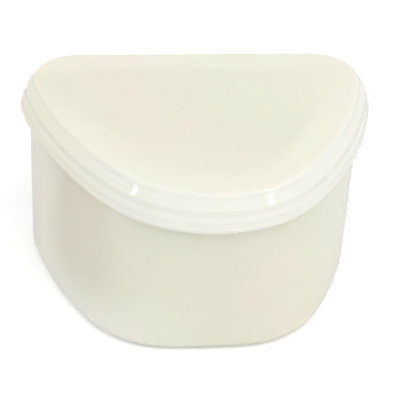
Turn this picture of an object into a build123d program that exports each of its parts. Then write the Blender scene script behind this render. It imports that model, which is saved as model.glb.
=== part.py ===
"""Denture case: a D-shaped tub, a stepped lid hinged on its flat back, and a lift-out strainer basket.

Millimetres, +Z up. The curved front faces -Y, the flat back faces +Y, and the case is symmetric about X = 0.
The origin lies on the surface that the case stands on, at the middle of its overall width and depth.
"""
from build123d import *
from math import atan2, cos, degrees, radians, sin, sqrt
import os

# ---- lid outline, seen from above ----
LID_WIDTH = 95.0
LID_DEPTH = 74.5
LID_CORNER_R = 15.5           # the two back corners
LID_SIDE_R = 100.0            # the long curve from a back corner to the front
LID_FRONT_R = 35.0            # the round front
FRONT_HALF_ANGLE = 2.5        # degrees of the front that the middle arc turns, each side of the centre line

# ---- tub outline at the underside, which is flatter in front than the lid ----
BASE_WIDTH = 88.8
BASE_DEPTH = 62.5
BASE_CORNER_R = 14.0
BASE_SIDE_R = 97.0
BASE_FRONT_CORNER_R = 26.0
BASE_FRONT_R = 240.0
BASE_BACK_SET_IN = 3.0        # how far the underside's back lies in front of the lid's back

# ---- heights ----
LIP_Z = 45.0                  # lower edge of the lid
LIP_OVERLAP = 3.4             # how far the lid's skirt reaches down over the tub's rim
CROWN_RISE = 0.5              # the lid's middle above its plateau's edge
CROWN_CORNER_R = 3.0          # corner radius of the plateau's flat middle, inside its soft roll-off

# ---- lid section: each corner is (inset from the outermost edge, height above the lip) ----
LIP_EDGE_R = 0.4
LIP_BEAD = (0.0, 1.1)         # upper edge of the bead that runs round the lip
LIP_BEAD_R = 0.4
LIP_GROOVE = (0.2, 1.6)       # where the bead meets the lip's face
LIP_GROOVE_R = 0.4
LOWER_SHOULDER = (0.5, 3.0)
LOWER_SHOULDER_R = 1.0
LOWER_CREASE = (1.2, 4.2)
UPPER_SHOULDER = (1.5, 5.8)
UPPER_SHOULDER_R = 1.2
UPPER_CREASE = (3.1, 7.8)
CREASE_R = 1.0
PLATEAU_EDGE = (3.8, 9.3)
PLATEAU_EDGE_R = 1.2

# ---- walls and clearances ----
LID_WALL = 1.8
LID_INSIDE_R = 1.0            # rounding where the lid's ceiling meets its riser
SKIRT_GAP = 0.55              # between the lid's skirt and the tub's rim
TUB_WALL = 1.8
TUB_FLOOR = 2.0
TUB_FOOT_R = 3.5              # rounding round the underside
TUB_INSIDE_R = 2.0            # rounding round the floor inside
RIM_EDGE_R = 0.4

# ---- hinge ----
PIN_R = 1.0
PIN_RUNNING_GAP = 0.05        # radial, where the lid turns on the pin
PIN_GRIP = 0.02               # radial, where the tub holds the pin
KNUCKLE_WALL = 1.4
KNUCKLE_CLEARANCE = 0.35      # between the tub's knuckles and the lid's back
HINGE_RISE = 0.3              # how far the pin's axis lies above the lip's lower edge
LID_KNUCKLE_LENGTH = 22.0
TUB_KNUCKLE_LENGTH = 10.0
KNUCKLE_SIDE_GAP = 0.3
BRACKET_DEPTH = 6.0           # height of a bracket where it joins the tub
LID_OPEN_ANGLE = 110.0        # degrees, where the lid's back meets the stops
STOP_GAP = 0.06
STOP_LENGTH = 2.0             # of a stop's face, from its middle line outwards
STOP_TIP_R = 0.5
PIN_END_R = 0.3

# ---- strainer basket ----
BASKET_GAP = 1.2              # between the basket's wall and the tub's wall
BASKET_WALL = 1.4
BASKET_FLOOR = 1.4
BASKET_TOP_Z = 38.0
BASKET_FOOT_R = 2.0           # rounding round the basket's underside
FLANGE_GAP = 0.5              # between the basket's flange and the tub's wall
FLANGE_THICKNESS = 1.6
FOOT_HEIGHT = 3.5
FOOT_R = 2.5
FOOT_INSET = 12.0             # from the tub's outside at the underside to a foot's axis
SLOT_WIDTH = 2.2
SLOT_PITCH = 6.0
WALL_SLOT_BORDER = 5.0        # solid wall above and below the slots
FLOOR_SLOT_LENGTH = 9.0
FLOOR_SLOT_GAP = 3.6
FLOOR_SLOT_MARGIN = 3.0       # solid floor left round the slots

# ---- bail, the basket's folding handle ----
BAIL_SET_BACK = 31.0          # from the lid's back to the bail's pivots
BAIL_PIVOT_DROP = 4.2         # from the basket's top down to the pivots
BAIL_REACH = 15.5             # from the pivots to the middle of the grip
BAIL_HEEL = 4.0               # how far each arm runs on past its pivot
BAIL_THICKNESS = 2.6
BAIL_BAR_WIDTH = 3.2
BAIL_CORNER_R = 6.0
BAIL_EDGE_R = 0.7
BAIL_SIDE_GAP = 0.4           # between an arm and its ear
GRIP_LENGTH = 26.0
GRIP_WIDTH = 5.4
STUB_R = 1.5
STUB_LENGTH = 2.6             # of the stub inside its ear
STUB_GAP = 0.08               # radial, in the ears' bores
EAR_DEPTH = 2.2               # how far an ear stands in from the basket's wall
EAR_FRONT = 4.0               # from the pivots to an ear's front edge
EAR_HEIGHT = 12.0
REST_START = 3.0              # from the pivots back to the ledge that an arm rests on
REST_LENGTH = 3.5
REST_HEIGHT = 4.0
REST_GAP = 0.05               # between a folded arm and its ledge

# ---- worked out from the sizes above ----
RIM_Z = LIP_Z + LIP_OVERLAP
OVERHANG = LID_WALL + SKIRT_GAP
KNUCKLE_R = PIN_R + KNUCKLE_WALL
AXIS_BEHIND = KNUCKLE_R + KNUCKLE_CLEARANCE
AXIS_Z = LIP_Z + HINGE_RISE
STOP_DISTANCE = AXIS_BEHIND - STOP_GAP
STOP_REACH = STOP_LENGTH * sin(radians(LID_OPEN_ANGLE)) - STOP_DISTANCE * cos(radians(LID_OPEN_ANGLE))
HINGE_REACH = AXIS_BEHIND + max(KNUCKLE_R, STOP_REACH)
BACK_Y = (LID_DEPTH - HINGE_REACH) / 2
AXIS_Y = BACK_Y + AXIS_BEHIND
BASKET_INSET = TUB_WALL + BASKET_GAP
BASKET_BOTTOM_Z = TUB_FLOOR + FOOT_HEIGHT
PIVOT_Y = BACK_Y - BAIL_SET_BACK
PIVOT_Z = BASKET_TOP_Z - BAIL_PIVOT_DROP
TUB_KNUCKLE_START = LID_KNUCKLE_LENGTH / 2 + KNUCKLE_SIDE_GAP
TUB_KNUCKLE_END = TUB_KNUCKLE_START + TUB_KNUCKLE_LENGTH
CROWN_INSET = LID_CORNER_R - CROWN_CORNER_R
CROWN_Z = LIP_Z + PLATEAU_EDGE[1] + CROWN_RISE


def lid_shape():
    """The lid's outline: half width, depth, back's Y, corner, side, front corner and front radii."""
    return LID_WIDTH / 2, LID_DEPTH, BACK_Y, LID_CORNER_R, LID_SIDE_R, LID_FRONT_R, LID_FRONT_R


def base_shape():
    """The outline of the tub's underside, in the same order."""
    back = BACK_Y - BASE_BACK_SET_IN
    return BASE_WIDTH / 2, BASE_DEPTH, back, BASE_CORNER_R, BASE_SIDE_R, BASE_FRONT_CORNER_R, BASE_FRONT_R


def arc_centres(shape):
    """Centres of the right-hand corner, side and front corner arcs and of the front arc, tangent in turn."""
    half, depth, back, corner_r, side_r, front_corner_r, front_r = shape
    turn = radians(FRONT_HALF_ANGLE)
    corner = Vector(half - corner_r, back - corner_r)
    front = Vector(0, back - depth + front_r)
    front_corner = front + Vector(sin(turn), -cos(turn)) * (front_r - front_corner_r)
    span = front_corner - corner
    to_corner, to_front = side_r - corner_r, side_r - front_corner_r
    along = (span.length ** 2 + to_corner ** 2 - to_front ** 2) / (2 * span.length)
    unit = span.normalized()
    inward = Vector(unit.Y, -unit.X)
    side = corner + unit * along + inward * sqrt(to_corner ** 2 - along ** 2)
    return corner, side, front_corner, front


def outline(shape, inset, z):
    """The closed D-shaped wire at height z, inset evenly from its shape."""
    corner_r, side_r, front_corner_r, front_r = (radius - inset for radius in shape[3:])
    corner, side, front_corner, front = arc_centres(shape)
    corner_end = degrees(atan2(corner.Y - side.Y, corner.X - side.X))
    side_end = degrees(atan2(front_corner.Y - side.Y, front_corner.X - side.X))
    front_start = FRONT_HALF_ANGLE - 90
    right = [(corner, corner_r, 90, corner_end), (side, side_r, corner_end, side_end),
             (front_corner, front_corner_r, side_end, front_start)]
    edges = []
    for centre, radius, start, end in right:
        edges.append(arc(centre, radius, start, end, z))
    edges.append(arc(front, front_r, front_start, -180 - front_start, z))
    for centre, radius, start, end in reversed(right):
        edges.append(arc(Vector(-centre.X, centre.Y), radius, 180 - end, 180 - start, z))
    edges.append(Edge.make_line(edges[-1] @ 1, edges[0] @ 0))
    return Wire(edges)


def arc(centre, radius, start, end, z):
    """A clockwise arc at height z, between two directions in degrees."""
    middle = radians((start + end) / 2)
    points = []
    for angle in (radians(start), middle, radians(end)):
        points.append((centre.X + radius * cos(angle), centre.Y + radius * sin(angle), z))
    return Edge.make_three_point_arc(*points)


def side_half_width(inset, y, z):
    """Half the tub's width at y and height z, along its side arcs, inset from the outside."""
    widths = []
    for shape, extra in ((base_shape(), 0), (lid_shape(), OVERHANG)):
        side = arc_centres(shape)[1]
        widths.append(side.X + sqrt((shape[4] - extra - inset) ** 2 - (y - side.Y) ** 2))
    share = z / RIM_Z
    return widths[0] * (1 - share) + widths[1] * share


def tapered(inset, z0, z1):
    """The tub's tapering form between two heights, inset evenly from its outside."""
    low = Face(outline(base_shape(), inset, 0))
    high = Face(outline(lid_shape(), OVERHANG + inset, RIM_Z))
    whole = Solid.make_loft([low.outer_wire(), high.outer_wire()], True)
    slab = Pos(0, 0, (z0 + z1) / 2) * Box(2 * LID_WIDTH, 2 * LID_DEPTH, z1 - z0)
    return whole & slab


def barrel(x0, x1, radius):
    """A cylinder on the hinge axis between two places along X."""
    return Pos((x0 + x1) / 2, AXIS_Y, AXIS_Z) * Rot(0, 90, 0) * Cylinder(radius, x1 - x0)


def block(x0, x1, y0, y1, z0, z1):
    """A box between two places along each axis."""
    return Pos((x0 + x1) / 2, (y0 + y1) / 2, (z0 + z1) / 2) * Box(x1 - x0, y1 - y0, z1 - z0)


def prism(points, x0, x1):
    """A polygon in the YZ plane, given as (y, z) corners, drawn out between two places along X."""
    face = Face(Wire.make_polygon([(x0, y, z) for y, z in points]))
    return Solid.extrude(face, Vector(x1 - x0, 0, 0))


def mirrored(shape):
    """The shape and its mirror image across X = 0."""
    return [shape, mirror(shape, Plane.YZ)]


def corner_of(face, point):
    """The corner of a flat face that lies nearest to a point."""
    return face.vertices().sort_by_distance(point)[0]


# ---- tub ----
def hinge_bracket():
    """The right-hand bracket on the tub's back: a gusset, a knuckle and the stop for the open lid."""
    wall_y = BACK_Y - OVERHANG - TUB_WALL / 2
    top_z = LIP_Z - KNUCKLE_CLEARANCE
    under_axis = AXIS_Z - KNUCKLE_R
    profile = [(wall_y, top_z), (AXIS_Y, top_z), (AXIS_Y, under_axis), (wall_y, top_z - BRACKET_DEPTH)]
    gusset = prism(profile, TUB_KNUCKLE_START, TUB_KNUCKLE_END)
    opened = radians(LID_OPEN_ANGLE)
    axis = Vector(AXIS_Y, AXIS_Z)
    outwards = Vector(-cos(opened), sin(opened)) * STOP_DISTANCE
    along = Vector(sin(opened), cos(opened)) * STOP_LENGTH
    tip = axis + outwards + along
    corners = [axis, axis + outwards, tip, axis + along]
    stop = prism([(corner.X, corner.Y) for corner in corners], TUB_KNUCKLE_START, TUB_KNUCKLE_END)
    tip_edge = stop.edges().filter_by(Axis.X).sort_by_distance((TUB_KNUCKLE_START, tip.X, tip.Y))[0]
    stop = fillet(tip_edge, STOP_TIP_R)
    return gusset + stop + barrel(TUB_KNUCKLE_START, TUB_KNUCKLE_END, KNUCKLE_R)


def tub():
    """The tapering tub, open at the top, with two hinge brackets on its flat back."""
    outside = tapered(0, 0, RIM_Z)
    outside = fillet(outside.edges().group_by(Axis.Z)[0], TUB_FOOT_R)
    cavity = tapered(TUB_WALL, TUB_FLOOR, RIM_Z)
    cavity = fillet(cavity.edges().group_by(Axis.Z)[0], TUB_INSIDE_R)
    body = outside - cavity
    body = fillet(body.edges().group_by(Axis.Z)[-1], RIM_EDGE_R)
    for bracket in mirrored(hinge_bracket()):
        body += bracket
    return body - barrel(-LID_WIDTH, LID_WIDTH, PIN_R - PIN_GRIP)


# ---- lid ----
def lid_section():
    """Section of the lid's stepped rim and soft roll-off: X is the inset, Y the height above the lip."""
    crown = (CROWN_INSET, PLATEAU_EDGE[1] + CROWN_RISE)
    run = CROWN_INSET - PLATEAU_EDGE[0]
    roll_r = (run ** 2 + CROWN_RISE ** 2) / (2 * CROWN_RISE)
    inside_r = roll_r - LID_WALL
    riser = UPPER_CREASE[0] + LID_WALL
    ceiling = crown[1] - LID_WALL
    riser_top = ceiling - inside_r + sqrt(inside_r ** 2 - (CROWN_INSET - riser) ** 2)
    lip = Polyline((0, 0), LIP_BEAD, LIP_GROOVE, LOWER_SHOULDER)
    steps = Polyline(LOWER_SHOULDER, LOWER_CREASE, UPPER_SHOULDER, UPPER_CREASE, PLATEAU_EDGE)
    roll_off = RadiusArc(PLATEAU_EDGE, crown, roll_r)
    edge = Line(crown, (CROWN_INSET, ceiling))
    under = RadiusArc((CROWN_INSET, ceiling), (riser, riser_top), -inside_r)
    seat = Polyline((riser, riser_top), (riser, LIP_OVERLAP), (LID_WALL, LIP_OVERLAP), (LID_WALL, 0), (0, 0))
    face = make_face(lip + steps + roll_off + edge + under + seat)
    roundings = [((0, 0), LIP_EDGE_R), (LIP_BEAD, LIP_BEAD_R), (LIP_GROOVE, LIP_GROOVE_R),
                 (LOWER_SHOULDER, LOWER_SHOULDER_R), (LOWER_CREASE, CREASE_R),
                 (UPPER_SHOULDER, UPPER_SHOULDER_R), (UPPER_CREASE, CREASE_R),
                 (PLATEAU_EDGE, PLATEAU_EDGE_R), ((riser, riser_top), LID_INSIDE_R)]
    for point, radius in roundings:
        face = fillet(corner_of(face, point), radius)
    return face


def lid_knuckle():
    """The knuckle between the tub's two, joined to the lid's back."""
    half = LID_KNUCKLE_LENGTH / 2
    web = block(-half, half, BACK_Y - LID_WALL / 2, AXIS_Y, LIP_Z, AXIS_Z + KNUCKLE_R)
    return web + barrel(-half, half, KNUCKLE_R)


def lid():
    """The stepped lid, hollow underneath, whose skirt reaches down round the tub's rim."""
    path = outline(lid_shape(), 0, LIP_Z)
    start = Plane(origin=path @ 0, x_dir=(0, -1, 0), z_dir=(-1, 0, 0))
    rim = sweep(start * lid_section(), path)
    middle = Face(outline(lid_shape(), CROWN_INSET, CROWN_Z - LID_WALL))
    top = Solid.extrude(middle, Vector(0, 0, LID_WALL))
    return rim + top + lid_knuckle() - barrel(-LID_WIDTH, LID_WIDTH, PIN_R + PIN_RUNNING_GAP)


def hinge_pin():
    """The pin that the tub's knuckles hold and the lid turns on."""
    pin = barrel(-TUB_KNUCKLE_END, TUB_KNUCKLE_END, PIN_R)
    return chamfer(pin.edges(), PIN_END_R)


# ---- strainer basket ----
def basket_feet():
    """Four short feet, one near each corner, that stand on the tub's floor."""
    corner, _, front_corner, _ = arc_centres(base_shape())
    feet = []
    for centre, radius, angle in ((corner, BASE_CORNER_R, 45), (front_corner, BASE_FRONT_CORNER_R, -45)):
        reach = radius - FOOT_INSET
        x = centre.X + reach * cos(radians(angle))
        y = centre.Y + reach * sin(radians(angle))
        height = FOOT_HEIGHT + BASKET_FLOOR / 2
        feet += mirrored(Pos(x, y, TUB_FLOOR + height / 2) * Cylinder(FOOT_R, height))
    return feet


def floor_slots():
    """Rows of short slots that fit on the basket's floor."""
    low, high = BASKET_BOTTOM_Z, BASKET_BOTTOM_Z + BASKET_FLOOR
    room = tapered(BASKET_INSET + BASKET_WALL + FLOOR_SLOT_MARGIN, low, high)
    slot = extrude(SlotOverall(FLOOR_SLOT_LENGTH, SLOT_WIDTH), BASKET_FLOOR, both=True)
    pitch = FLOOR_SLOT_LENGTH + FLOOR_SLOT_GAP
    columns = int(BASE_WIDTH / pitch / 2)
    rows = int(BASE_DEPTH / SLOT_PITCH / 2)
    middle_y = room.center().Y
    slots = []
    for column in range(-columns, columns + 1):
        for row in range(-rows, rows + 1):
            x, y = column * pitch, middle_y + row * SLOT_PITCH
            middle = Vector(x, y, (low + high) / 2)
            reach = Vector(FLOOR_SLOT_LENGTH / 2, 0, 0)
            if room.is_inside(middle - reach) and room.is_inside(middle + reach):
                slots.append(Pos(middle) * slot)
    return slots


def wall_slots():
    """Upright slots all round the basket's wall, left out behind the two ears."""
    low = BASKET_BOTTOM_Z + BASKET_FLOOR + WALL_SLOT_BORDER
    high = BASKET_TOP_Z - FLANGE_THICKNESS - WALL_SLOT_BORDER
    middle = (low + high) / 2
    share = middle / RIM_Z
    inset = BASKET_INSET + BASKET_WALL / 2
    under = outline(base_shape(), inset, middle)
    over = outline(lid_shape(), OVERHANG + inset, middle)
    count = round(under.length / SLOT_PITCH)
    slot = extrude(SlotOverall(high - low, SLOT_WIDTH, 90), 2 * BASKET_WALL, both=True)
    slots = []
    for index in range(count):
        place = (index + 0.5) / count
        point = under @ place * (1 - share) + over @ place * share
        along = under % place * (1 - share) + over % place * share
        beside_ear = PIVOT_Y - EAR_FRONT < point.Y < PIVOT_Y + REST_START + REST_LENGTH
        if not beside_ear:
            across = along.cross(Vector(0, 0, 1))
            slots.append(Plane(origin=point, x_dir=along, z_dir=across) * slot)
    return slots


def ear_face_x():
    """Half the distance between the two ears' inner faces."""
    return side_half_width(BASKET_INSET + BASKET_WALL, PIVOT_Y, PIVOT_Z) - EAR_DEPTH


def ear():
    """The right-hand ear on the basket's wall, with the ledge that the folded bail rests on."""
    face_x = ear_face_x()
    back = PIVOT_Y + REST_START + REST_LENGTH
    pad = block(face_x, LID_WIDTH / 2, PIVOT_Y - EAR_FRONT, back, BASKET_TOP_Z - EAR_HEIGHT, BASKET_TOP_Z)
    ledge_z = PIVOT_Z - BAIL_THICKNESS / 2 - REST_GAP
    ledge_x = face_x - BAIL_SIDE_GAP - BAIL_BAR_WIDTH
    ledge = block(ledge_x, LID_WIDTH / 2, PIVOT_Y + REST_START, back, ledge_z - REST_HEIGHT, ledge_z)
    return pad + ledge


def stub(start, end, radius):
    """The right-hand half of the bail's pivot, between two places along X."""
    return Pos((start + end) / 2, PIVOT_Y, PIVOT_Z) * Rot(0, 90, 0) * Cylinder(radius, end - start)


def basket():
    """The slotted basket that lifts out of the tub, with its flange, feet and ears."""
    outside = tapered(BASKET_INSET, BASKET_BOTTOM_Z, BASKET_TOP_Z)
    outside = fillet(outside.edges().group_by(Axis.Z)[0], BASKET_FOOT_R)
    inside = tapered(BASKET_INSET + BASKET_WALL, BASKET_BOTTOM_Z + BASKET_FLOOR, BASKET_TOP_Z)
    flange = tapered(TUB_WALL + FLANGE_GAP, BASKET_TOP_Z - FLANGE_THICKNESS, BASKET_TOP_Z)
    body = outside + flange - inside
    for right_ear in mirrored(ear() & outside):
        body += right_ear
    for foot in basket_feet():
        body += foot
    bore = stub(0, LID_WIDTH, STUB_R + STUB_GAP)
    return body - floor_slots() - wall_slots() - mirrored(bore)


def basket_bail():
    """The U-shaped handle, folded flat towards the back, with a stub at each end that turns in an ear."""
    arm_x = ear_face_x() - BAIL_SIDE_GAP - BAIL_BAR_WIDTH / 2
    corners = [(arm_x, -BAIL_HEEL), (arm_x, BAIL_REACH), (-arm_x, BAIL_REACH), (-arm_x, -BAIL_HEEL)]
    line = FilletPolyline(*corners, radius=BAIL_CORNER_R)
    grip = Pos(0, BAIL_REACH) * RectangleRounded(GRIP_LENGTH, GRIP_WIDTH, GRIP_WIDTH / 2 - BAIL_EDGE_R)
    flat = trace(line, BAIL_BAR_WIDTH) + grip
    bar = Pos(0, PIVOT_Y, PIVOT_Z) * extrude(flat, BAIL_THICKNESS / 2, both=True)
    levels = bar.edges().group_by(Axis.Z)
    bar = fillet(levels[0] + levels[-1], BAIL_EDGE_R)
    for right_stub in mirrored(stub(arm_x, ear_face_x() + STUB_LENGTH, STUB_R)):
        bar += right_stub
    return bar


def main():
    os.makedirs("parts", exist_ok=True)
    nodes = {"tub": tub(), "lid": lid(), "hinge_pin": hinge_pin(), "strainer_basket": basket(),
             "basket_bail": basket_bail()}
    for name, shape in nodes.items():
        export_step(shape, f"parts/{name}.step")


if __name__ == "__main__":
    main()
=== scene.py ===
"""Looks of the denture case: an ivory case with a lift-out strainer basket, in plain soft studio light.

Metres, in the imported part's own frame: +Z up, the curved front faces -Y and the flat, hinged back +Y.
"""
from math import cos, radians, sin

import bpy
from mathutils import Matrix, Vector


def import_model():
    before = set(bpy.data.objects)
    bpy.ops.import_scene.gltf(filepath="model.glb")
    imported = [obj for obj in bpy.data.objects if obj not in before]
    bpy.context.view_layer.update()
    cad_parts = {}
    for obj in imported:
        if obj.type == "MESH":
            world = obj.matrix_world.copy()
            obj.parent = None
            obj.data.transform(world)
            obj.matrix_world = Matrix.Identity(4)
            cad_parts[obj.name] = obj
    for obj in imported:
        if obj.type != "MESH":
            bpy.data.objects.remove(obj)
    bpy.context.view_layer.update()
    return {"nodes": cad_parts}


# Three kinds of tuple return below.
# An edge is (from, to): where something starts to change and where the change ends.
# A fade is (from, to, value at from, value at to), and the value runs smoothly in between.
# A noise is (scale per metre, detail, roughness, number); the number is added to its material's seed.

# ---- camera: directions in degrees, lengths in metres ----
CAMERA_TARGET = Vector((0, -0.0035, 0.027))
CAMERA_DISTANCE = 0.45
CAMERA_ELEVATION = 35.73
CAMERA_TO_LEFT = 7.94           # round from straight in front, towards -X
CAMERA_ROLL = 3.68
IMAGE_PIXELS = 400
FOCAL_PIXELS = 1680.7
PRINCIPAL_POINT = (201.1, 207.0)
SENSOR_WIDTH = 36.0             # millimetres
CLIP_START = 0.01

# ---- surroundings ----
# Heights are sines of elevations. Places to the right run from -1, square to the camera's left, to 1.
WALL_LIGHT = 1.0                        # of the white walls round the object
WALL_EDGE = (0.50, 0.535)               # heights over which they end in a dim strip
CEILING_FADE = (0.525, 0.60, 0.0, 1.0)  # light of the strip and of the ceiling above it, over the height
TALL_WALL_FADE = (0.058, 0.10, 0.0, 0.12)   # how much taller the walls are, over the place to the right
MATT_FADE = (-1.0, 0.2, 0.512, 0.64)    # share of the light for matt surfaces, over the place to the right

# ---- floor ----
FLOOR_HALF = 3.0
FLOOR_DROP = 0.0001                     # below the case's underside
FLOOR_WHITE = 0.85
FLOOR_GLOW = 0.3                        # light of its own, where the camera sees it
GLOW_IN_GLOSS = 0.15                    # share of that glow in reflections
FLOOR_FADE = (0.16, 0.32, 0.0, 1.0)     # share of plain white, over the distance from the middle

# Painted shadows on the floor, which only reflections show: (middle, radii, depth). They stand in for the
# case's shadow to its left; the first darkens the reflection in the left of the tub, and the second the
# reflection in the left of the lid's lip.
PAINTED_SHADOWS = (
    ((-0.070, 0.0, 0.0), (0.045, 0.022, 1.0), 0.78),
    ((-0.118, 0.036, 0.0), (0.036, 0.040, 1.0), 0.7),
)
PAINTED_SHADOW_TURN = -47.0                     # degrees
PAINTED_SHADOW_EDGE = (0.5, 1.15)               # in radii

# ---- lamps ----
# (turn to the left of the camera and elevation in degrees, distance, width and height in metres, watts,
# whether reflections show it). The two strips make the highlights on the lid's rim.
LAMPS = {
    "left_strip": (62, 33, 0.9, 0.026, 0.42, 0.58, True),
    "right_strip": (-62, 33, 0.9, 0.036, 0.42, 0.62, True),
    "front_softbox": (-18, 62, 1.0, 0.8, 0.6, 3.65, False),
    "left_back_softbox": (122, 18, 1.0, 0.6, 0.4, 1.15, False),
    "right_back_softbox": (-150, 20, 1.1, 1.1, 0.14, 0.5, False),
}

# ---- plastics: what differs from one to the next ----
IVORY = dict(
    colour=(0.87, 0.85, 0.72), warm=(0.89, 0.835, 0.72), cool=(0.86, 0.865, 0.72), roughness=0.09,
    smears=0.06, ripple=0.10, grain=0.05, translucency=0.6, edge=0.0002, seed=1.0)
WHITE = dict(
    colour=(0.88, 0.88, 0.85), warm=(0.89, 0.88, 0.845), cool=(0.87, 0.885, 0.865), smears=0.10)
BASKET_WHITE = dict(
    WHITE, roughness=0.34, ripple=0.06, grain=0.5, translucency=0.35, edge=0.0004, seed=31.0)
BAIL_WHITE = dict(
    WHITE, roughness=0.26, ripple=0.05, grain=0.3, translucency=0.3, edge=0.0003, seed=57.0)

# Painted light, a paler colour where more light falls: the lit colour, then its fades along X, Y and Z
# Painted light: the front and right of the lid's rim, paler and whiter as if more brightly lit
RIM_PAINTED_LIGHT = (
    (0.88, 0.88, 0.82),
    (-0.044, -0.020, 0.0, 1.0),
    (0.022, 0.033, 1.0, 0.0),
    (0.0539, 0.0548, 1.0, 0.0),
)
# Painted light: the bottom left of the tub, paler as if lit by light from the floor
FOOT_PAINTED_LIGHT = (
    (0.92, 0.92, 0.82),
    (-0.026, 0.008, 1.0, 0.0),
    (-0.010, 0.025, 1.0, 0.0),
    (0.004, 0.019, 1.0, 0.0),
)

# ---- plastics: what they share ----
DRIFT_NOISE = (22.0, 3.0, 0.5, 0)       # of the tint, from warm to cool
DRIFT_FADE = (0.35, 0.65, 0.0, 1.0)
BLOTCH_NOISE = (70.0, 4.0, 0.6, 3)      # of the main colour over the tint
BLOTCH_FADE = (0.4, 0.7, 0.0, 0.5)
PAINTED_LIGHT_NOISE = (120.0, 3.0, 0.6, 19)      # of the painted light's strength, in patches
PAINTED_LIGHT_FADE = (0.3, 0.7, 0.75, 1.0)
# Painted shade: the colour darkens in creases, where less light reaches
PAINTED_SHADE_REACH = 0.0016                   # how far from the other wall the painted crease shade still reaches
PAINTED_SHADE_SAMPLES = 8
PAINTED_SHADE_FADE = (0.25, 0.75, 0.1, 0.0)    # share of the painted crease shade, over the open sky a surface has
PAINTED_CREASE_SHADE = 0.86                     # colour of the painted shade, times the main colour
SMEAR_NOISE = (38.0, 5.0, 0.65, 7)
SMEAR_EDGE = (0.45, 0.7)
SCRATCH_NOISE = (1.0, 2.0, 0.5, 11)     # on a place turned and stretched into thin lines
SCRATCH_FADE = (0.68, 0.74, 0.0, 0.05)
SCRATCH_TURN = (0.3, 0.2, 0.6)          # radians
SCRATCH_STRETCH = (40.0, 900.0, 300.0)
EDGE_SAMPLES = 6
SCUFF_FADE = (0.90, 0.998, 0.4, 0.0)    # added roughness, over the cosine of the rounded to the true normal
RIPPLE_NOISE = (90.0, 2.0, 0.4, 13)
RIPPLE_HEIGHT = 0.0006
GRAIN_NOISE = (1800.0, 3.0, 0.6, 17)
GRAIN_HEIGHT = 0.00008
PLASTIC_IOR = 1.53
GLOW_THROUGH = (1.0, 0.8, 0.6)          # how far red, green and blue light spread inside
GLOW_REACH = 0.0012

# ---- steel of the pin ----
STEEL_STRETCH = (60.0, 5000.0, 5000.0)  # draws the noise out into lines along X
STEEL_NOISE = (1.0, 4.0, 0.7, 5)
STEEL_EDGE = (0.3, 0.7)
STEEL_DARK = (0.52, 0.52, 0.53)
STEEL_LIGHT = (0.66, 0.66, 0.65)
STEEL_ROUGHNESS = (0.22, 0.38)
STEEL_RELIEF = 0.3
STEEL_HEIGHT = 0.00002


# ---- small helpers ----
def direction(to_left, elevation):
    """The unit vector towards a place round the object, from straight in front."""
    turn, rise = radians(to_left), radians(elevation)
    return Vector((-sin(turn) * cos(rise), -cos(turn) * cos(rise), sin(rise)))


def link(data, name):
    obj = bpy.data.objects.new(name, data)
    bpy.context.scene.collection.objects.link(obj)
    return obj


class Graph:
    """A node tree under construction."""

    def __init__(self, owner):
        owner.use_nodes = True
        self.nodes, self.links = owner.node_tree.nodes, owner.node_tree.links
        self.nodes.clear()

    def add(self, kind, settings=None, **inputs):
        """A node with its settings and inputs, which are values or other nodes' outputs.

        An input goes by its socket's name with _ for a space, or by its number: i0, i1."""
        node = self.nodes.new("ShaderNode" + kind)
        for name, value in (settings or {}).items():
            setattr(node, name, value)
        for name, value in inputs.items():
            by_number = name[0] == "i" and name[1:].isdigit()
            socket = node.inputs[int(name[1:]) if by_number else name.replace("_", " ")]
            if isinstance(value, bpy.types.NodeSocket):
                self.links.new(value, socket)
            else:
                socket.default_value = value
        return node

    def operate(self, kind, operation, values):
        inputs = {f"i{number}": value for number, value in enumerate(values)}
        return self.add(kind, {"operation": operation}, **inputs).outputs["Value"]

    def math(self, operation, *values):
        return self.operate("Math", operation, values)

    def vector_math(self, operation, *vectors):
        """A number worked out from vectors."""
        return self.operate("VectorMath", operation, vectors)

    def smooth(self, value, low, high, to_low, to_high):
        """Runs smoothly from to_low where the value is low, to to_high where it is high."""
        return self.add("MapRange", {"interpolation_type": "SMOOTHSTEP"}, Value=value, From_Min=low,
                        From_Max=high, To_Min=to_low, To_Max=to_high).outputs["Result"]

    def noise(self, place, kind, seed=0.0):
        scale, detail, roughness, number = kind
        return self.add("TexNoise", {"noise_dimensions": "4D"}, Vector=place, Scale=scale, Detail=detail,
                        Roughness=roughness, W=seed + number).outputs["Fac"]

    def mix(self, share, first, second):
        """Two colours mixed: they go into sockets 6 and 7, and the mix comes out at 2."""
        return self.add("Mix", {"data_type": "RGBA"}, i0=share, i6=first, i7=second).outputs[2]


# ---- camera and studio ----
def camera():
    data = bpy.data.cameras.new("camera")
    data.sensor_width = SENSOR_WIDTH
    data.lens = FOCAL_PIXELS / IMAGE_PIXELS * SENSOR_WIDTH
    data.shift_x = (IMAGE_PIXELS / 2 - PRINCIPAL_POINT[0]) / IMAGE_PIXELS
    data.shift_y = (PRINCIPAL_POINT[1] - IMAGE_PIXELS / 2) / IMAGE_PIXELS
    data.clip_start = CLIP_START
    obj = link(data, "camera")
    back = direction(CAMERA_TO_LEFT, CAMERA_ELEVATION)
    level = Vector((0, 0, 1)).cross(back).normalized()
    rise = back.cross(level)
    roll = radians(CAMERA_ROLL)
    right = level * cos(roll) + rise * sin(roll)
    up = rise * cos(roll) - level * sin(roll)
    axes = Matrix((right, up, back)).transposed()
    obj.matrix_world = Matrix.Translation(CAMERA_TARGET + back * CAMERA_DISTANCE) @ axes.to_4x4()
    bpy.context.scene.camera = obj


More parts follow.
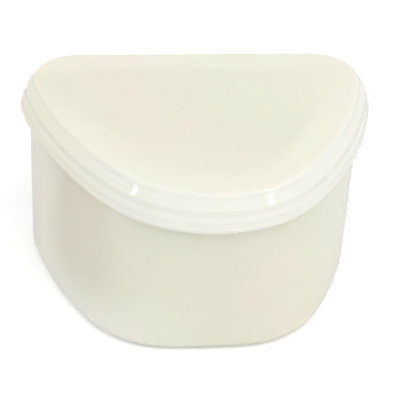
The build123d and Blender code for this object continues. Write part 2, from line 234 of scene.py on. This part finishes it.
def lamps():
    """Soft lamps that aim at the object and stay out of the camera's sight."""
    for name, (to_left, elevation, distance, width, height, watts, in_gloss) in LAMPS.items():
        data = bpy.data.lights.new(name, "AREA")
        data.shape = "RECTANGLE"
        data.size, data.size_y = width, height
        data.energy = watts
        obj = link(data, name)
        towards = direction(CAMERA_TO_LEFT + to_left, elevation)
        obj.location = CAMERA_TARGET + towards * distance
        obj.rotation_euler = towards.to_track_quat("Z", "Y").to_euler()
        obj.visible_camera = False
        obj.visible_glossy = in_gloss


def camera_ray(graph):
    return graph.add("LightPath").outputs["Is Camera Ray"]


def seen_directly(graph):
    """1 where the camera, a reflection or a clear material looks, and 0 for the light on matt surfaces."""
    path = graph.add("LightPath").outputs
    seen = graph.math("MAXIMUM", path["Is Camera Ray"], path["Is Glossy Ray"])
    return graph.math("MAXIMUM", seen, path["Is Transmission Ray"])


def world():
    """White walls all round, a dim strip above them and a ceiling; the camera itself sees plain white."""
    studio = bpy.data.worlds.new("studio")
    graph = Graph(studio)
    place = graph.add("TexCoord").outputs["Generated"]
    height = graph.add("SeparateXYZ", Vector=place).outputs["Z"]
    to_right = graph.vector_math("DOT_PRODUCT", place, direction(CAMERA_TO_LEFT - 90, 0))
    wall_height = graph.math("SUBTRACT", height, graph.smooth(to_right, *TALL_WALL_FADE))
    light = graph.smooth(wall_height, *WALL_EDGE, WALL_LIGHT, graph.smooth(height, *CEILING_FADE))
    seen = seen_directly(graph)
    matt = graph.math("MULTIPLY", graph.smooth(to_right, *MATT_FADE), graph.math("SUBTRACT", 1.0, seen))
    share = graph.math("ADD", seen, matt)
    strength = graph.math("MAXIMUM", graph.math("MULTIPLY", light, share), camera_ray(graph))
    background = graph.add("Background", Color=(1, 1, 1, 1), Strength=strength)
    graph.add("OutputWorld", Surface=background.outputs[0])
    bpy.context.scene.world = studio


def outside_painted_shadows(graph, place):
    """1, or the share of light that the painted shadows leave where a reflection looks."""
    glossy = graph.add("LightPath").outputs["Is Glossy Ray"]
    share = 1.0
    for middle, radii, depth in PAINTED_SHADOWS:
        shadow_shape = graph.add("Mapping", {"vector_type": "TEXTURE"}, Vector=place, Location=middle,
                           Rotation=(0, 0, radians(PAINTED_SHADOW_TURN)), Scale=radii)
        away = graph.vector_math("LENGTH", shadow_shape.outputs[0])
        dim = graph.math("MULTIPLY", glossy, graph.smooth(away, *PAINTED_SHADOW_EDGE, depth, 0.0))
        share = graph.math("SUBTRACT", share, dim)
    return graph.math("MAXIMUM", share, 0.0)


def floor_paint():
    """Pale paint that turns to plain white further out, with painted shadows that only reflections show."""
    paint = bpy.data.materials.new("floor_paint")
    graph = Graph(paint)
    place = graph.add("TexCoord").outputs["Object"]
    # The painted shadows darken the floor's colour and glow where a reflection looks
    light = outside_painted_shadows(graph, place)
    white = graph.math("MULTIPLY", light, FLOOR_WHITE)
    colour = graph.add("CombineColor", Red=white, Green=white, Blue=white)
    diffuse = graph.add("BsdfDiffuse", Color=colour.outputs[0])
    seen = seen_directly(graph)
    shown = graph.math("MAXIMUM", camera_ray(graph), graph.math("MULTIPLY", seen, GLOW_IN_GLOSS))
    strength = graph.math("MULTIPLY", graph.math("MULTIPLY", shown, light), FLOOR_GLOW)
    glow = graph.add("Emission", Strength=strength)
    near = graph.add("AddShader", i0=diffuse.outputs[0], i1=glow.outputs[0])
    far = graph.add("Emission", Strength=1.0)
    out = graph.vector_math("LENGTH", place)
    share = graph.math("MULTIPLY", graph.smooth(out, *FLOOR_FADE), seen)
    both = graph.add("MixShader", i0=share, i1=near.outputs[0], i2=far.outputs[0])
    graph.add("OutputMaterial", Surface=both.outputs[0])
    return paint


def floor():
    """The floor keeps the object's shadow, and is white where the shadow ends."""
    half = FLOOR_HALF
    corners = [(x, y, -FLOOR_DROP) for x, y in ((-half, -half), (half, -half), (half, half), (-half, half))]
    mesh = bpy.data.meshes.new("floor")
    mesh.from_pydata(corners, [], [(0, 1, 2, 3)])
    mesh.materials.append(floor_paint())
    link(mesh, "floor")


# ---- materials ----
def painted_light_share(graph, place, fades, seed):
    """How much painted light a place gets: the fades along X, Y and Z, in patches."""
    where = graph.add("SeparateXYZ", Vector=place).outputs
    share = graph.smooth(graph.noise(place, PAINTED_LIGHT_NOISE, seed), *PAINTED_LIGHT_FADE)
    for axis, fade in zip("XYZ", fades):
        share = graph.math("MULTIPLY", share, graph.smooth(where[axis], *fade))
    return share


def plastic_colour(graph, place, colour, warm, cool, seed, painted_light):
    """A faint drift of colour, with painted light that makes it paler where given, and painted shade that
    darkens it in creases.
    """
    drift = graph.smooth(graph.noise(place, DRIFT_NOISE, seed), *DRIFT_FADE)
    tint = graph.mix(drift, (*warm, 1), (*cool, 1))
    blotch = graph.smooth(graph.noise(place, BLOTCH_NOISE, seed), *BLOTCH_FADE)
    body = graph.mix(blotch, tint, (*colour, 1))
    # Painted light: paler paint where the fades put it
    if painted_light:
        lit_colour, *fades = painted_light
        body = graph.mix(painted_light_share(graph, place, fades, seed), body, (*lit_colour, 1))
    # Painted shade: a darker colour in creases, where ambient occlusion finds a nearby wall
    sky = graph.add("AmbientOcclusion", {"samples": PAINTED_SHADE_SAMPLES, "only_local": True},
                    Distance=PAINTED_SHADE_REACH).outputs["AO"]
    shade = tuple(channel * PAINTED_CREASE_SHADE for channel in colour)
    return graph.mix(graph.smooth(sky, *PAINTED_SHADE_FADE), body, (*shade, 1))


def plastic_roughness(graph, place, rounded, roughness, smears, seed):
    """The plain roughness, and more on smears, in fine scratches and at rubbed edges."""
    smear = graph.smooth(graph.noise(place, SMEAR_NOISE, seed), *SMEAR_EDGE, 0.0, smears)
    stretched = graph.add("Mapping", Vector=place, Rotation=SCRATCH_TURN, Scale=SCRATCH_STRETCH)
    scratch = graph.smooth(graph.noise(stretched.outputs[0], SCRATCH_NOISE, seed), *SCRATCH_FADE)
    flatness = graph.vector_math("DOT_PRODUCT", rounded, graph.add("NewGeometry").outputs["Normal"])
    scuff = graph.smooth(flatness, *SCUFF_FADE)
    return graph.math("ADD", graph.math("ADD", graph.math("ADD", smear, scratch), scuff), roughness)


def plastic_relief(graph, place, rounded, ripple, grain, seed):
    """A slight ripple and a fine grain on the rounded edges' normal."""
    wave = graph.add("Bump", Height=graph.noise(place, RIPPLE_NOISE, seed), Strength=ripple,
                     Distance=RIPPLE_HEIGHT, Normal=rounded)
    fine = graph.add("Bump", Height=graph.noise(place, GRAIN_NOISE, seed), Strength=grain,
                     Distance=GRAIN_HEIGHT, Normal=wave.outputs[0])
    return fine.outputs[0]


def plastic(name, colour, warm, cool, roughness, smears, ripple, grain, translucency, edge, seed, painted_light=None):
    """Moulded plastic that has been handled, with painted shade in its creases and, where given, painted
    light.
    """
    paint = bpy.data.materials.new(name)
    graph = Graph(paint)
    place = graph.add("TexCoord").outputs["Object"]
    rounded = graph.add("Bevel", {"samples": EDGE_SAMPLES}, Radius=edge).outputs[0]
    shader = graph.add(
        "BsdfPrincipled",
        Base_Color=plastic_colour(graph, place, colour, warm, cool, seed, painted_light),
        Roughness=plastic_roughness(graph, place, rounded, roughness, smears, seed),
        Normal=plastic_relief(graph, place, rounded, ripple, grain, seed),
        IOR=PLASTIC_IOR,
        Subsurface_Weight=translucency,
        Subsurface_Radius=GLOW_THROUGH,
        Subsurface_Scale=GLOW_REACH)
    graph.add("OutputMaterial", Surface=shader.outputs[0])
    return paint


def pin_steel():
    """Drawn steel wire, with fine lines along X."""
    paint = bpy.data.materials.new("pin_steel")
    graph = Graph(paint)
    place = graph.add("TexCoord").outputs["Object"]
    along = graph.add("Mapping", Vector=place, Scale=STEEL_STRETCH)
    lines = graph.noise(along.outputs[0], STEEL_NOISE)
    tone = graph.mix(graph.smooth(lines, *STEEL_EDGE, 0.0, 1.0), (*STEEL_DARK, 1), (*STEEL_LIGHT, 1))
    rough = graph.smooth(lines, *STEEL_EDGE, *STEEL_ROUGHNESS)
    bump = graph.add("Bump", Height=lines, Strength=STEEL_RELIEF, Distance=STEEL_HEIGHT)
    shader = graph.add("BsdfPrincipled", Base_Color=tone, Metallic=1.0, Roughness=rough,
                       Normal=bump.outputs[0])
    graph.add("OutputMaterial", Surface=shader.outputs[0])
    return paint


def dress(node, paint):
    """Gives a CAD node its finish."""
    mesh = frame["nodes"][node].data
    mesh.materials.clear()
    mesh.materials.append(paint)


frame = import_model()
bpy.context.scene.view_settings.view_transform = "Standard"
camera()
lamps()
world()
floor()
# The tub and the lid get painted light where given, and every plastic gets painted shade in its creases.
dress("tub", plastic("tub_plastic", painted_light=FOOT_PAINTED_LIGHT, **IVORY))
dress("lid", plastic("lid_plastic", painted_light=RIM_PAINTED_LIGHT, **IVORY))
dress("strainer_basket", plastic("basket_plastic", **BASKET_WHITE))
dress("basket_bail", plastic("bail_plastic", **BAIL_WHITE))
dress("hinge_pin", pin_steel())
